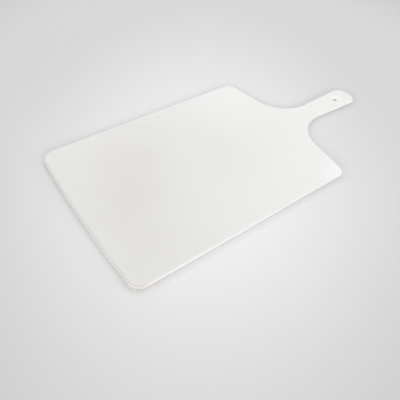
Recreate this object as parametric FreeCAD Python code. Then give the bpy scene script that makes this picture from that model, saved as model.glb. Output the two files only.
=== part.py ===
import FreeCAD, Part
import math
import os
from FreeCAD import Vector

# Mortar hawk of the flat, side-handled kind: one sheet of white polyethylene, cut to a paddle outline.
# Millimetres. The board lies on its underside at z = 0, and the handle points along +X.
# The origin is under the middle of the board's overall length and width.

# Driving dimensions
overall_length = 460.0        # crown of the leading edge to the handle's end
plate_width = 240.0
plate_length = 310.0          # leading corners to shoulder corners, before rounding
thickness = 5.0

leading_crown = 4.0           # how far the leading edge swells out at its middle
leading_corner_radius = 15.0
shoulder_corner_radius = 12.0
shoulder_slope_deg = 8.5      # how far the shoulders lean towards the handle

neck_radius = 52.0            # concave sweep from shoulder to handle
handle_neck_width = 31.0      # where the handle leaves the neck
handle_end_width = 38.5
handle_end_radius = 15.0
neck_to_end = 87.0            # from the handle's narrow end to its tip

hole_diameter = 5.0           # hanging hole
hole_from_end = 30.0
sink_diameter = 12.0          # where the hole's countersink, at 45 degrees, meets the working face
face_edge_round = 2.0         # on the whole outline, at both faces
hole_rim_round = 0.4

same_place = 0.001            # points closer than this coincide

# Places along X that follow from the dimensions
end_x = overall_length / 2
crown_x = -end_x
leading_x = crown_x + leading_crown
shoulder_x = leading_x + plate_length
hole_x = end_x - hole_from_end


def handle_edge_y(x):
    """Half the width of the handle at x, along its straight, flaring side."""
    neck_x = end_x - neck_to_end
    flare = (handle_end_width - handle_neck_width) / 2 / neck_to_end
    return handle_neck_width / 2 + flare * (x - neck_x)


def neck_corner():
    """Where the line of the shoulder meets the line of the handle's side, before the neck is rounded."""
    lean = math.tan(math.radians(shoulder_slope_deg))
    flare = (handle_end_width - handle_neck_width) / 2 / neck_to_end
    drop = (plate_width / 2 - handle_edge_y(shoulder_x)) / (1 + flare * lean)
    return Vector(shoulder_x + lean * drop, plate_width / 2 - drop, 0)


def mirrored(point):
    return Vector(point.x, -point.y, point.z)


def sharp_corners():
    """The corners on the +Y side, each with the radius that rounds it."""
    return [
        (Vector(leading_x, plate_width / 2, 0), leading_corner_radius),
        (Vector(shoulder_x, plate_width / 2, 0), shoulder_corner_radius),
        (neck_corner(), neck_radius),
        (Vector(end_x, handle_end_width / 2, 0), handle_end_radius),
    ]


def outline(corners):
    """The closed outline with sharp corners: straight all round, but for the crowned leading edge."""
    upper = [point for point, radius in corners]
    lower = [mirrored(point) for point in reversed(upper)]
    points = upper + lower
    edges = [Part.makeLine(a, b) for a, b in zip(points, points[1:])]
    crown = Part.Arc(lower[-1], Vector(crown_x, 0, 0), upper[0]).toShape()
    return Part.Wire(edges + [crown])


def upright_edges(solid, point):
    """The edges through the thickness at the corner above point and at its mirror image."""
    upright = [edge for edge in solid.Edges if edge.BoundBox.ZLength > thickness / 2]
    feet = [(edge, edge.Vertexes[0]) for edge in upright]
    return [e for e, foot in feet if abs(foot.X - point.x) + abs(abs(foot.Y) - point.y) < same_place]


def paddle_blank():
    """The full thickness of the board with its corners rounded in plan and its face edges still sharp."""
    corners = sharp_corners()
    blank = Part.Face(outline(corners)).extrude(Vector(0, 0, thickness))
    for point, radius in corners:
        blank = blank.makeFillet(radius, upright_edges(blank, point))
    return blank


def level_edges(solid):
    return [edge for edge in solid.Edges if edge.BoundBox.ZLength < same_place]


def hole_rims(solid):
    """The hole's edges in the working face and in the underside."""
    return [
        edge
        for edge in level_edges(solid)
        if math.hypot(edge.CenterOfMass.x - hole_x, edge.CenterOfMass.y) < same_place
        and abs(edge.CenterOfMass.z - thickness / 2) > thickness / 2 - same_place
    ]


def hanging_hole():
    """What the hole takes away: a straight bore, and a cone that widens it towards the working face."""
    bore = Part.makeCylinder(hole_diameter / 2, thickness, Vector(hole_x, 0, 0))
    sink_depth = (sink_diameter - hole_diameter) / 2
    foot = Vector(hole_x, 0, thickness - sink_depth)
    return bore.fuse(Part.makeCone(hole_diameter / 2, sink_diameter / 2, sink_depth, foot))


def hawk_board():
    """The whole object. Plate, shoulders, handle and hanging hole are one piece, with its edges eased."""
    blank = paddle_blank()
    board = blank.makeFillet(face_edge_round, level_edges(blank))
    drilled = board.cut(hanging_hole())
    return drilled.makeFillet(hole_rim_round, hole_rims(drilled)).Solids[0]


os.makedirs("parts", exist_ok=True)
hawk_board().exportStep("parts/hawk_board.step")
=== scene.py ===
import math

import bpy
import numpy as np
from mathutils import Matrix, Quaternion, Vector, geometry, kdtree, noise


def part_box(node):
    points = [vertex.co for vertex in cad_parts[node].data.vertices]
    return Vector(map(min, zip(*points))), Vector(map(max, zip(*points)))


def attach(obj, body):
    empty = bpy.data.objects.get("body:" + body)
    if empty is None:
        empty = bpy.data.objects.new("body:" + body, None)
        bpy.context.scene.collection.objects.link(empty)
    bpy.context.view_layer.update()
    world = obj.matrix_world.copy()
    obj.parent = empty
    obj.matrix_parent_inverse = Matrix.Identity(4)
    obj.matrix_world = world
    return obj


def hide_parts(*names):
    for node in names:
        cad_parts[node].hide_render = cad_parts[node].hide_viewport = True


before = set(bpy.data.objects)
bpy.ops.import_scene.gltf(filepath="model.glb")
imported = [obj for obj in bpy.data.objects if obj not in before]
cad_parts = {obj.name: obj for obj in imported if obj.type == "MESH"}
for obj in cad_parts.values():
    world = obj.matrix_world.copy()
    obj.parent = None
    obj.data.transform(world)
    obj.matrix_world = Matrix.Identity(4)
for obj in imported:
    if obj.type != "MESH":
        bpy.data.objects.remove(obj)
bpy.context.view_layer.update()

# A mortar hawk of the flat, side-handled kind: one white polyethylene sheet, cut to a paddle outline.
# Metres. The board lies on its underside at z = 0, and the handle points along +X.

NODE = "hawk_board"
MM = 0.001

# The board in plan. Its overall length, width and thickness come from the frame.
low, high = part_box(NODE)
half_width = (high.y - low.y) / 2
thickness = high.z - low.z
leading_crown = 4 * MM             # how far the leading edge swells out at its middle
plate_length = 310 * MM            # leading corners to shoulder corners, before rounding
leading_corner_radius = 15 * MM
shoulder_corner_radius = 12 * MM
shoulder_slope = math.radians(8.5)
neck_radius = 52 * MM
handle_neck_width = 31 * MM
handle_end_width = 38.5 * MM
handle_end_radius = 15 * MM
neck_to_end = 87 * MM
hole_radius = 2.5 * MM
hole_from_end = 30 * MM
sink_radius = 6 * MM               # where the hole's countersink, at 45 degrees, meets the working face
face_edge_round = 2 * MM
hole_rim_round = 0.4 * MM
sink_ease = hole_rim_round * math.tan(math.pi / 8)     # reach of that rounding from a 45 degree corner

crown_x = low.x
end_x = high.x
leading_x = crown_x + leading_crown
shoulder_x = leading_x + plate_length
hole = Vector((end_x - hole_from_end, 0))

# How finely the mesh follows it
outline_step = 1.1 * MM
arc_step = 0.8 * MM
rounding_steps = 7
face_step = 4 * MM
outline_border = 3.5 * MM          # width of the even band of quads inside the rounded edge
hole_border = 2 * MM
border_rings = 4                   # rings of vertices across either band
slope_rings = 3                    # rings along the countersink's slope, between its rounded ends
hole_points = 72
hole_band_edge = sink_radius + sink_ease + hole_border
inside_only = 1                    # the kind of triangulation that keeps within the loops
same_point = 1e-9                  # and takes points this close for one

# How far the sheet strays from a perfect one
face_wave_depth = 0.10 * MM
face_wave_length = 85 * MM
rounding_variation = 0.10          # share of face_edge_round
rounding_wave_length = 22 * MM
nick_count = 26
nick_depth = (0.06 * MM, 0.20 * MM)
nick_reach = (0.9 * MM, 2.2 * MM)
noise_shift = (17.3, 5.1, 1.0)     # how far the noise moves from one seed to the next

rng = np.random.default_rng(20)


# ---- Outline ----

def left_of(direction):
    """The outward direction on a stretch of the outline that is followed clockwise."""
    return Vector((-direction.y, direction.x))


def angle_of(vector):
    return math.atan2(vector.y, vector.x)


def corner_bend(before, corner, after, radius):
    """The arc that rounds a corner, as (centre, radius, outward angle at its start and at its end).
    The radius is negative where the board lies outside the arc, as at the neck."""
    come = (corner - before).normalized()
    go = (after - corner).normalized()
    turn = come.angle_signed(go)
    reach = radius * math.tan(abs(turn) / 2)
    signed = math.copysign(radius, turn)
    centre = corner - come * reach - left_of(come) * signed
    start = angle_of(left_of(come))
    return centre, signed, start, start - turn


def leading_bends():
    """The crowned leading edge from its middle to the corner, and the arc that rounds that corner."""
    sag_ratio = half_width ** 2 / leading_crown
    crown_radius = (sag_ratio + leading_crown) / 2
    crown_centre = Vector((crown_x + crown_radius, 0))
    inner = crown_radius - leading_corner_radius
    rise = half_width - leading_corner_radius
    corner_centre = crown_centre + Vector((-math.sqrt(inner ** 2 - rise ** 2), rise))
    meeting = angle_of(corner_centre - crown_centre)
    return [
        (crown_centre, crown_radius, math.pi, meeting),
        (corner_centre, leading_corner_radius, meeting, math.pi / 2),
    ]


def side_bends():
    """The shoulder corner, the neck and the corner of the handle's end."""
    flare = (handle_end_width - handle_neck_width) / 2 / neck_to_end
    lean = math.tan(shoulder_slope)
    edge_y = handle_end_width / 2 - flare * (end_x - shoulder_x)
    drop = (half_width - edge_y) / (1 + flare * lean)
    points = [
        Vector((leading_x, half_width)),
        Vector((shoulder_x, half_width)),
        Vector((shoulder_x + lean * drop, half_width - drop)),
        Vector((end_x, handle_end_width / 2)),
        Vector((end_x, 0)),
    ]
    radii = [shoulder_corner_radius, neck_radius, handle_end_radius]
    return [corner_bend(*points[i:i + 3], radius) for i, radius in enumerate(radii)]


def on_bend(bend, share):
    """The point at a share of the way round a bend, and the outward direction there."""
    centre, radius, start, end = bend
    angle = start + (end - start) * share
    out = Vector((math.cos(angle), math.sin(angle)))
    return centre + out * radius, out


def upper_half():
    """The outline from the crown's middle over the +Y side to the middle of the handle's end."""
    samples = []
    for bend in leading_bends() + side_bends():
        if samples:
            samples += straight(samples.pop(), on_bend(bend, 0))
        centre, radius, start, end = bend
        count = math.ceil(abs(radius * (end - start)) / arc_step)
        samples += [on_bend(bend, i / count) for i in range(count + 1)]
    tip = Vector((end_x, 0)), samples[-1][1]
    return samples + straight(samples.pop(), tip) + [tip]


def straight(a, b):
    """Samples on the straight run from a up to b, which is left out. There are none where two bends meet."""
    count = round((b[0] - a[0]).length / outline_step)
    return [(a[0].lerp(b[0], i / count), a[1]) for i in range(count)]


def outline():
    """The whole outline as two arrays, points and outward directions, one row for each sample."""
    upper = upper_half()
    flip = Vector((1, -1))
    lower = [(point * flip, out * flip) for point, out in reversed(upper[1:-1])]
    points, outs = zip(*(upper + lower))
    return np.array(points), np.array(outs)


# ---- Mesh ----

def smooth_noise(points, wavelength, seed):
    """Gentle noise from -1 to 1 at points in plan, the same on every run."""
    shift = Vector([seed * step for step in noise_shift])
    return np.array([noise.noise(Vector((*p, 0)) / wavelength + shift) for p in points])


def edge_section(radius):
    """The board's edge cut through, from the top face round to the underside: for each radius of rounding,
    rows of distance in from the outline, and of height."""
    quarter = np.linspace(0, math.pi / 2, rounding_steps + 1)[:, None]
    inset = radius * (1 - np.sin(quarter))
    depth = radius * (1 - np.cos(quarter))
    inset = np.vstack([inset, inset[::-1]])
    height = np.vstack([thickness - depth, depth[::-1]])
    return inset, height


def hole_section():
    """The hole's edge cut through in the same way: the countersink's rim and slope, the seam where the slope
    meets the straight wall, and the rim below."""
    sink = sink_radius - hole_radius
    turn = np.linspace(0, math.pi / 4, rounding_steps // 2 + 1)
    top_inset = sink + sink_ease - hole_rim_round * np.sin(turn)
    top_depth = hole_rim_round * (1 - np.cos(turn))
    seam_inset = top_depth[::-1]
    seam_depth = top_inset[::-1]
    quarter = np.linspace(0, math.pi / 2, rounding_steps + 1)
    low_inset = hole_rim_round * (1 - np.cos(quarter))
    low_height = hole_rim_round * (1 - np.sin(quarter))
    share = np.linspace(0, 1, slope_rings + 2)[1:-1]
    slope_inset = top_inset[-1] + (seam_inset[0] - top_inset[-1]) * share
    slope_depth = top_depth[-1] + (seam_depth[0] - top_depth[-1]) * share
    inset = np.concatenate([top_inset, slope_inset, seam_inset, low_inset])
    depth = np.concatenate([top_depth, slope_depth, seam_depth])
    height = np.concatenate([thickness - depth, low_height])
    return inset[:, None], height[:, None]


def rings(points, outs, section, border):
    """Rings of vertices round an edge with that section. The first is on the top face, and the last is
    straight below it on the underside."""
    inset, height = section
    share = np.linspace(1, 0, border_rings, endpoint=False)[:, None]
    reach = inset[0] + border
    above = inset[0] + (reach - inset[0]) * share
    below = inset[-1] + (reach - inset[-1]) * share[::-1]
    inset = np.vstack([above, inset, below])
    full = np.full((len(share), height.shape[1]), thickness)
    height = np.vstack([full, height, full * 0])
    plan = points[None] - outs[None] * inset[..., None]
    return np.dstack([plan, np.broadcast_to(height, plan.shape[:2])])


def ring_faces(ring_total, count, first):
    """Quads between neighbouring rings whose vertices are numbered on from first."""
    ring, i = np.meshgrid(np.arange(ring_total - 1), np.arange(count), indexing="ij")
    after = (i + 1) % count
    a = first + ring * count + i
    b = first + ring * count + after
    return np.stack([a, b, b + count, a + count], axis=-1).reshape(-1, 4).tolist()


def hole_samples():
    """The hole's rim as points with the direction into the hole, where the board has its outside."""
    angle = np.arange(hole_points) / hole_points * 2 * math.pi
    out = -np.column_stack([np.cos(angle), np.sin(angle)])
    return np.array(hole) - out * hole_radius, out


def inner_grid(points, outs):
    """Points in a loose grid on the face, clear of the bands along the outline and round the hole."""
    tree = kdtree.KDTree(len(points))
    for i, p in enumerate(points):
        tree.insert((*p, 0), i)
    tree.balance()
    clear = face_edge_round + outline_border + face_step / 2
    xs = np.arange(low.x, high.x, face_step)
    ys = np.arange(low.y, high.y, face_step * math.sqrt(3) / 2)
    found = []
    for row, y in enumerate(ys):
        for x in xs + face_step / 2 * (row % 2):
            spot = Vector((x, y))
            nearest = tree.find((x, y, 0))[1]
            inside = (spot - Vector(points[nearest])).dot(Vector(outs[nearest])) < -clear
            if inside and (spot - hole).length > hole_band_edge + face_step / 2:
                found.append(spot)
    return found


def face_fill(loops, grid):
    """Triangles between closed loops of plan points, through the grid's points. The points are numbered
    loop by loop, and then through the grid."""
    points = [Vector(p) for loop in loops for p in loop] + grid
    edges = []
    first = 0
    for loop in loops:
        edges += [(first + i, first + (i + 1) % len(loop)) for i in range(len(loop))]
        first += len(loop)
    coords, _, faces, origin, _, _ = geometry.delaunay_2d_cdt(points, edges, [], inside_only, same_point)
    number = [named[0] for named in origin]
    kept = []
    for face in faces:
        middle = sum((coords[v] for v in face), Vector((0, 0))) / len(face)
        if (middle - hole).length > hole_band_edge:
            kept.append([number[v] for v in face])
    return kept


def waves(co):
    """Both faces dip a little in places. Nothing rises past the true planes."""
    share = np.clip(co[:, 2] / thickness, 0, 1)
    top = smooth_noise(co[:, :2], face_wave_length, seed=1) * 0.5 + 0.5
    under = smooth_noise(co[:, :2], face_wave_length, seed=2) * 0.5 + 0.5
    co[:, 2] -= face_wave_depth * top * share
    co[:, 2] += face_wave_depth * under * (1 - share)
    return co


def nicks(co, points, outs):
    """Small dents along the rounded edges, where a board gets knocked."""
    for _ in range(nick_count):
        at = rng.integers(len(points))
        upper = rng.random() < 0.5
        depth = rng.uniform(*nick_depth)
        reach = rng.uniform(*nick_reach)
        out = np.array([*outs[at], 1 if upper else -1]) / math.sqrt(2)
        corner = np.array([*points[at], thickness if upper else 0])
        centre = corner - out * face_edge_round * (math.sqrt(2) - 1)
        share = np.clip(1 - np.sum((co - centre) ** 2, axis=1) / reach ** 2, 0, 1)
        co -= depth * share[:, None] ** 2 * out
    return co


def build_board():
    """The board as one closed mesh: both edges, and the two faces between them."""
    points, outs = outline()
    rim, rim_outs = hole_samples()
    spread = smooth_noise(points, rounding_wave_length, seed=3) * rounding_variation
    outer = rings(points, outs, edge_section(face_edge_round * (1 + spread)), outline_border)
    inner = rings(rim, rim_outs, hole_section(), hole_border)
    grid = inner_grid(points, outs)

    outer_count = outer.shape[0] * outer.shape[1]
    co = [outer.reshape(-1, 3), inner.reshape(-1, 3)]
    faces = ring_faces(outer.shape[0], len(points), 0)
    faces += ring_faces(inner.shape[0], len(rim), outer_count)
    filled = face_fill([outer[0, :, :2], inner[0, :, :2]], grid)
    first_grid = outer_count + inner.shape[0] * inner.shape[1]
    top = 0, outer_count
    under = outer_count - len(points), first_grid - len(rim)
    for starts, height, turned in ((top, thickness, False), (under, 0, True)):
        numbers = np.concatenate([
            starts[0] + np.arange(len(points)),
            starts[1] + np.arange(len(rim)),
            first_grid + np.arange(len(grid)),
        ])
        faces += [numbers[face[::-1] if turned else face].tolist() for face in filled]
        co.append(np.array([(*spot, height) for spot in grid]))
        first_grid += len(grid)
    co = nicks(waves(np.vstack(co)), points, outs)

    mesh = bpy.data.meshes.new("board")
    mesh.from_pydata(co.tolist(), [], faces)
    mesh.validate()
    mesh.shade_smooth()
    mark_edges(mesh, co, outer, inner, outer_count)
    board = bpy.data.objects.new("board", mesh)
    bpy.context.scene.collection.objects.link(board)
    return board


def mark_edges(mesh, co, outer, inner, outer_count):
    """Stores how much each point belongs to a rounded edge or wall, and how far round the outline it is."""
    edge = np.zeros(len(co))
    round_trip = np.zeros(len(co))
    start = 0
    for group in (outer, inner):
        ring_total, count = group.shape[:2]
        ring = np.arange(ring_total)
        on_edge = (ring >= border_rings) & (ring < ring_total - border_rings)
        edge[start:start + ring_total * count] = np.repeat(on_edge, count)
        middle = group[ring_total // 2]
        gaps = np.linalg.norm(np.diff(middle, axis=0, prepend=middle[:1]), axis=1)
        round_trip[start:start + ring_total * count] = np.tile(np.cumsum(gaps), ring_total)
        start = outer_count
    for name, values in (("edge", edge), ("round_trip", round_trip)):
        attribute = mesh.attributes.new(name, "FLOAT", "POINT")
        attribute.data.foreach_set("value", values.astype(np.float32))


# ---- Materials ----

# Tones of the plastic: linear red, green, blue and alpha
darker_white = (0.838, 0.830, 0.809, 1)
lighter_white = (0.852, 0.845, 0.826, 1)
mottled_white = (0.872, 0.867, 0.853, 1)
worn_and_highlight_white = (0.868, 0.865, 0.855, 1)
dull_tone = (0.745, 0.728, 0.690, 1)
pale_tone = (0.915, 0.909, 0.893, 1)
sheen_highlight_tone = (0.915, 0.915, 0.910, 1)
scuff_tone = (0.72, 0.71, 0.68, 1)
wall_shade_tone = (0.660, 0.652, 0.630, 1)
leading_shade_tone = (0.560, 0.545, 0.520, 1)
corner_shade_tone = (0.780, 0.680, 0.620, 1)
hole_painted_light_tone = (0.955, 0.950, 0.935, 1)

# Noise that varies the plastic: its grain, and the two levels of it between which the effect comes in
drift_grain = 140 * MM
drift_levels = (0.3, 0.7)
mottle_grain = 5 * MM
mottle_levels = (0.35, 0.75)
mottle_share = 0.20
wear_and_highlight_grain = 17 * MM
wear_and_highlight_levels = (0.3, 0.65)
wear_and_highlight_shares = (0.35, 0.9)       # least and most wear and painted highlight on the edges

# Towards the leading edge, an area of the board is a touch darker and warmer.
dull_centre = (-143 * MM, 23 * MM)
dull_size = (175 * MM, 77 * MM)
dull_turn = math.radians(66)
dull_core = 0.1                    # share of the size that has the full effect
dull_share = 0.4
dull_blur_grain = 45 * MM          # noise that makes the area's rim uneven
dull_blur = 0.5

# Two broad areas are a touch paler: centre, size, turn and how far the tone goes towards the palest.
pale_areas = [
    ((48 * MM, 72 * MM), (130 * MM, 99 * MM), math.radians(59), 0.57),
    ((-88 * MM, -69 * MM), (116 * MM, 132 * MM), 0.0, 0.41),
]

# One shoulder corner is painted whiter: a painted sheen highlight.
sheen_highlight_centre = (86 * MM, -122 * MM)
sheen_highlight_size = (58 * MM, 45 * MM)
sheen_highlight_core = 0.1

# The outer edge has painted shade: greyer low on its walls, and darker along the leading edge.
wall_shade_heights = (2.2 * MM, 4.2 * MM)                        # painted shade, greyest below the first, none above the second
wall_shade_share = 0.5
leading_shade_ends = (leading_x + 6 * MM, leading_x + 18 * MM)     # painted shade up to the first, none from the second
leading_shade_share = 0.5

# One leading corner's edge is painted a darker, pinkish tone: painted shade on its side wall.
corner_shade_centre = (leading_x, -half_width)
corner_shade_reach = 26 * MM
corner_shade_core = 0.4
corner_shade_share = 0.35

# The outer edge and the hole's edge are told apart by the distance from the hole, in units of its band.
hole_to_outer = (0.9, 1.1)

# Scratches in two directions: grain along X, Y and Z, turn, and the levels of noise where one appears
scratches = [
    ((70 * MM, 0.5 * MM, 3 * MM), 0.12, (0.66, 0.76)),
    ((0.6 * MM, 45 * MM, 3 * MM), -0.3, (0.68, 0.78)),
]
scuffed_grain = 60 * MM            # size of the patches that have scratches
scuffed_levels = (0.4, 0.65)
scuff_share = 0.2

# Roughness
satin_grain = 40 * MM
satin_levels = (0.3, 0.7)
satin_range = (0.30, 0.34)
handled_polish = 0.02
scuff_roughness = 0.08

# Relief: grain or pitch, depth and how strongly it shows
grain_size, grain_depth, grain_strength = 0.45 * MM, 0.02 * MM, 0.4
peel_size, peel_depth, peel_strength = 2.2 * MM, 0.03 * MM, 0.5
cutter_pitch, cutter_depth, cutter_strength = 1.4 * MM, 0.01 * MM, 0.5
scratch_depth, scratch_strength = 0.01 * MM, 0.6

full_detail = 3.0                  # of the noise, where its finer layers show
any_height = 1000.0                # so large that height plays no part in a distance


class Graph:
    """Short calls for building a material's nodes."""

    def __init__(self, name):
        self.material = bpy.data.materials.new(name)
        self.material.use_nodes = True
        self.nodes = self.material.node_tree.nodes
        self.shader = self.nodes["Principled BSDF"]
        self.place = self.nodes.new("ShaderNodeTexCoord").outputs["Object"]

    def link(self, value, socket):
        if isinstance(value, bpy.types.NodeSocket):
            self.material.node_tree.links.new(value, socket)
        else:
            socket.default_value = value

    def set(self, **values):
        for name, value in values.items():
            self.link(value, self.shader.inputs[name.replace("_", " ")])

    def placed(self, size, centre=(0, 0, 0), turn=0.0):
        """Object coordinates measured from a centre, turned about Z and counted in units of size."""
        mapping = self.nodes.new("ShaderNodeMapping")
        mapping.vector_type = "TEXTURE"
        mapping.inputs["Location"].default_value = centre
        mapping.inputs["Rotation"].default_value = (0, 0, turn)
        mapping.inputs["Scale"].default_value = size
        self.link(self.place, mapping.inputs["Vector"])
        return mapping.outputs["Vector"]

    def noise(self, grain, detail=2.0, turn=0.0):
        """Noise from 0 to 1 with grains that many metres across, in all directions or along X, Y and Z."""
        size = (grain,) * 3 if isinstance(grain, float) else grain
        texture = self.nodes.new("ShaderNodeTexNoise")
        texture.inputs["Scale"].default_value = 1.0
        texture.inputs["Detail"].default_value = detail
        self.link(self.placed(size, turn=turn), texture.inputs["Vector"])
        return texture.outputs["Fac"]

    def distance(self, size, centre, turn=0.0):
        """Distance from a centre in plan, where 1 is the rim of a circle or an ellipse of that size."""
        size = (size, size) if isinstance(size, float) else size
        length = self.nodes.new("ShaderNodeVectorMath")
        length.operation = "LENGTH"
        self.link(self.placed((*size, any_height), (*centre, 0), turn), length.inputs[0])
        return length.outputs["Value"]

    def axis(self, name):
        """Metres along X, Y or Z."""
        split = self.nodes.new("ShaderNodeSeparateXYZ")
        self.link(self.place, split.inputs["Vector"])
        return split.outputs[name]

    def attribute(self, name):
        node = self.nodes.new("ShaderNodeAttribute")
        node.attribute_name = name
        return node.outputs["Fac"]

    def math(self, operation, a, b=0.0):
        node = self.nodes.new("ShaderNodeMath")
        node.operation = operation
        self.link(a, node.inputs[0])
        self.link(b, node.inputs[1])
        return node.outputs["Value"]

    def spread(self, value, start, end, low_value=0.0, high_value=1.0):
        """value from start to end, eased over to low_value to high_value."""
        node = self.nodes.new("ShaderNodeMapRange")
        node.interpolation_type = "SMOOTHSTEP"
        limits = ("From Min", start), ("From Max", end), ("To Min", low_value), ("To Max", high_value)
        self.link(value, node.inputs["Value"])
        for name, limit in limits:
            node.inputs[name].default_value = limit
        return node.outputs["Result"]

    def patches(self, grain, levels, values=(0.0, 1.0), detail=2.0, turn=0.0):
        """Noise eased over from the first value to the second between two levels of it."""
        return self.spread(self.noise(grain, detail, turn), *levels, *values)

    def area(self, size, centre, turn=0.0, core=0.0, share=1.0):
        """share inside the core of a circle or an ellipse in plan, eased down to 0 at its rim."""
        return self.spread(self.distance(size, centre, turn), core, 1.0, share, 0.0)

    def mix(self, share, a, b):
        """Two tones mixed. The node has sockets for every type, and those of colours have these numbers."""
        node = self.nodes.new("ShaderNodeMix")
        node.data_type = "RGBA"
        self.link(share, node.inputs["Factor"])
        self.link(a, node.inputs[6])
        self.link(b, node.inputs[7])
        return node.outputs[2]

    def bump(self, height, distance, strength=1.0, base=None):
        node = self.nodes.new("ShaderNodeBump")
        node.inputs["Distance"].default_value = distance
        node.inputs["Strength"].default_value = strength
        self.link(height, node.inputs["Height"])
        if base is not None:
            self.link(base, node.inputs["Normal"])
        return node.outputs["Normal"]


def board_tone(graph, wear_and_highlight):
    """Warm white that drifts and mottles a little, with worn edges that also carry a painted highlight, with
    duller and paler areas, and a painted sheen highlight at one shoulder corner.
    """
    tone = graph.mix(graph.patches(drift_grain, drift_levels), darker_white, lighter_white)
    mottle = graph.patches(mottle_grain, mottle_levels, (0.0, mottle_share), full_detail)
    tone = graph.mix(mottle, tone, mottled_white)
    # The edges are whitened in patches: wear, and a painted highlight where light catches the rounded edges.
    tone = graph.mix(wear_and_highlight, tone, worn_and_highlight_white)

    blur = graph.math("MULTIPLY", graph.math("SUBTRACT", graph.noise(dull_blur_grain), 0.5), dull_blur)
    reach = graph.math("ADD", graph.distance(dull_size, dull_centre, dull_turn), blur)
    tone = graph.mix(graph.spread(reach, dull_core, 1.0, dull_share, 0.0), tone, dull_tone)
    for centre, size, turn, share in pale_areas:
        tone = graph.mix(graph.area(size, centre, turn, share=share), tone, pale_tone)
    # A painted sheen highlight: the shoulder corner is painted whiter.
    return graph.mix(graph.area(sheen_highlight_size, sheen_highlight_centre, core=sheen_highlight_core), tone, sheen_highlight_tone)


def scuff_marks(graph):
    """Fine scratches in two directions, in patches."""
    lengthways, across = [graph.patches(size, levels, turn=turn) for size, turn, levels in scratches]
    marks = graph.math("MAXIMUM", lengthways, across)
    return graph.math("MULTIPLY", marks, graph.patches(scuffed_grain, scuffed_levels))


def edge_tone(graph, edge, tone):
    """The outer edge's painted shade: greyer low on the walls, darker along the leading edge and pinkish at
    one leading corner. The hole and its countersink are painted whiter, a painted light in the hole.
    """
    outer = graph.spread(graph.distance(hole_band_edge, hole), *hole_to_outer)
    outer_edge = graph.math("MULTIPLY", edge, outer)
    # Painted shade, greyer low on the outer walls.
    wall = graph.spread(graph.axis("Z"), *wall_shade_heights, wall_shade_share, 0.0)
    # Painted shade along the leading edge, whose wall faces away from the light.
    leading_shade = graph.spread(graph.axis("X"), *leading_shade_ends, leading_shade_share, 0.0)
    # Painted shade, darker and pinkish, on one leading corner's edge.
    corner_shade = graph.area(corner_shade_reach, corner_shade_centre, core=corner_shade_core, share=corner_shade_share)
    for share, edge_colour in ((wall, wall_shade_tone), (leading_shade, leading_shade_tone), (corner_shade, corner_shade_tone)):
        tone = graph.mix(graph.math("MULTIPLY", outer_edge, share), tone, edge_colour)
    # A painted light: the hole's rims, countersink and wall are painted whiter, which lifts the shade inside
    # the hole.
    return graph.mix(graph.math("SUBTRACT", edge, outer_edge), tone, hole_painted_light_tone)


def surface_relief(graph, edge, scuffs):
    """Fine grain, a coarser peel, the marks that the router left along the walls, and the scratches."""
    grain = graph.bump(graph.noise(grain_size), grain_depth, grain_strength)
    peel = graph.bump(graph.noise(peel_size), peel_depth, peel_strength, grain)
    cuts = graph.math("MULTIPLY", graph.attribute("round_trip"), 2 * math.pi / cutter_pitch)
    cuts = graph.math("MULTIPLY", graph.math("SINE", cuts), edge)
    routed = graph.bump(cuts, cutter_depth, cutter_strength, peel)
    return graph.bump(graph.math("MULTIPLY", scuffs, -1.0), scratch_depth, scratch_strength, routed)


def polyethylene():
    """White polyethylene: satin, finely grained, a little translucent, and smoother on worn edges."""
    graph = Graph("white_polyethylene")
    edge = graph.attribute("edge")
    wear_and_highlight = graph.math("MULTIPLY", edge, graph.patches(wear_and_highlight_grain, wear_and_highlight_levels, wear_and_highlight_shares))
    scuffs = scuff_marks(graph)

    tone = board_tone(graph, wear_and_highlight)
    tone = graph.mix(graph.math("MULTIPLY", scuffs, scuff_share), tone, scuff_tone)
    tone = edge_tone(graph, edge, tone)

    satin = graph.patches(satin_grain, satin_levels, satin_range, full_detail)
    satin = graph.math("SUBTRACT", satin, graph.math("MULTIPLY", wear_and_highlight, handled_polish))
    satin = graph.math("ADD", satin, graph.math("MULTIPLY", scuffs, scuff_roughness))

    graph.set(Base_Color=tone, Roughness=satin, Normal=surface_relief(graph, edge, scuffs))
    graph.set(IOR=1.51, Subsurface_Weight=0.3, Subsurface_Scale=4 * MM)
    graph.set(Subsurface_Radius=(1.0, 0.95, 0.85))
    return graph.material


# ---- Studio ----

floor_reach = 3.0
floor_gap = 0.1 * MM

# The paper on the floor is painted with a pool of light: palest in an oval pool, and a second, round fade
# paints it darker further out.
pool_centre = (-0.101, -0.058)
pool_reach = (0.620, 0.325)
pool_turn = 0.893
painted_pool_tone = 0.950
painted_outer_tone = 0.725
fade_centre = (0.119, 0.189)
fade_reach = 0.652
fade_core = 0.5
painted_fade_tone = 0.813
paper_grain = 1.1 * MM
paper_depth = 0.05 * MM
paper_strength = 0.2

camera_place = Vector((-0.3089, -0.3136, 0.3670))
camera_azimuth = math.radians(-38.84)
camera_elevation = math.radians(47.62)
camera_roll = math.radians(3.97)
camera_lens = 37.335               # millimetres, as is the sensor
camera_sensor = 36
camera_clip_start = 0.01

sky_strength = 0.55
softbox_distance = 6.0
# Each softbox: azimuth and elevation in degrees, width and height in metres, power in watts
softboxes = {
    "window": (112, 42, 2.64, 2.40, 51),
    "back_strip": (148, 29, 4.80, 1.20, 46),
    "back_left": (210, 30, 2.40, 1.44, 22),
    "far_left": (240, 18, 2.40, 1.20, 24),
    "left": (285, 16, 4.32, 1.44, 94),
    "front_left": (330, 16, 2.88, 1.44, 46),
    "front": (0, 18, 2.88, 1.68, 67),
    "right": (60, 16, 2.40, 1.20, 44),
}


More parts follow.
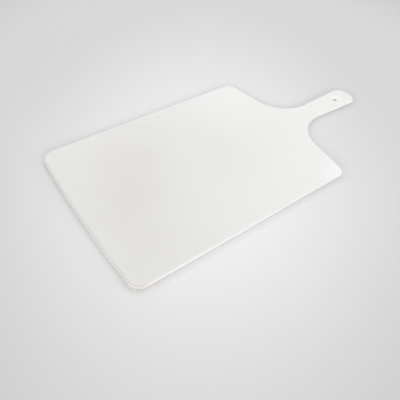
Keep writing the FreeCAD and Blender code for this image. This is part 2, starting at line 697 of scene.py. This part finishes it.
def floor_paper():
    """Pale matt studio paper with a painted pool of light: a little brighter in a soft pool round the board
    than further out.
    """
    graph = Graph("floor_paper")
    # A painted pool of light, with painted shade further out.
    pool = graph.spread(graph.distance(pool_reach, pool_centre, pool_turn), 0.0, 1.0, painted_pool_tone, painted_outer_tone)
    fade = graph.spread(graph.distance(fade_reach, fade_centre), fade_core, 1.0, 1.0, painted_fade_tone)
    tone = graph.math("MULTIPLY", pool, fade)
    relief = graph.bump(graph.noise(paper_grain), paper_depth, paper_strength)
    graph.set(Base_Color=tone, Roughness=0.9, Normal=relief)
    return graph.material


def build_floor():
    corners = [(x, y, -floor_gap) for x, y in ((-1, -1), (1, -1), (1, 1), (-1, 1))]
    mesh = bpy.data.meshes.new("floor")
    mesh.from_pydata([(x * floor_reach, y * floor_reach, z) for x, y, z in corners], [], [(0, 1, 2, 3)])
    mesh.materials.append(floor_paper())
    floor = bpy.data.objects.new("floor", mesh)
    bpy.context.scene.collection.objects.link(floor)
    return floor


def back_of(azimuth, elevation):
    """The direction from the subject to a camera or lamp, with azimuth 0 on the -Y side."""
    return Vector((
        math.sin(azimuth) * math.cos(elevation),
        -math.cos(azimuth) * math.cos(elevation),
        math.sin(elevation),
    ))


def build_camera():
    """The camera at the photograph's viewing angle."""
    data = bpy.data.cameras.new("camera")
    data.sensor_width = camera_sensor
    data.lens = camera_lens
    data.clip_start = camera_clip_start
    camera = bpy.data.objects.new("camera", data)
    camera.location = camera_place
    camera.rotation_mode = "QUATERNION"
    aim = (-back_of(camera_azimuth, camera_elevation)).to_track_quat("-Z", "Y")
    camera.rotation_quaternion = aim @ Quaternion((0, 0, 1), camera_roll)
    bpy.context.scene.collection.objects.link(camera)
    bpy.context.scene.camera = camera


def build_softbox(name, azimuth, elevation, width, height, power):
    """A rectangular lamp aimed at the board from a direction."""
    data = bpy.data.lights.new(name, "AREA")
    data.shape = "RECTANGLE"
    data.size = width
    data.size_y = height
    data.energy = power
    back = back_of(math.radians(azimuth), math.radians(elevation))
    lamp = bpy.data.objects.new(name, data)
    lamp.location = back * softbox_distance
    lamp.rotation_mode = "QUATERNION"
    lamp.rotation_quaternion = (-back).to_track_quat("-Z", "Y")
    bpy.context.scene.collection.objects.link(lamp)


def build_light():
    """A plain soft sky and the softboxes."""
    world = bpy.data.worlds.new("studio")
    world.use_nodes = True
    sky = world.node_tree.nodes["Background"]
    sky.inputs["Color"].default_value = (1, 1, 1, 1)
    sky.inputs["Strength"].default_value = sky_strength
    bpy.context.scene.world = world
    for name, values in softboxes.items():
        build_softbox(name, *values)
    bpy.context.scene.view_settings.view_transform = "Standard"


# ---- The scene ----

board = build_board()
board.data.materials.append(polyethylene())
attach(board, "root")
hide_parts(NODE)

floor = build_floor()
build_camera()
build_light()
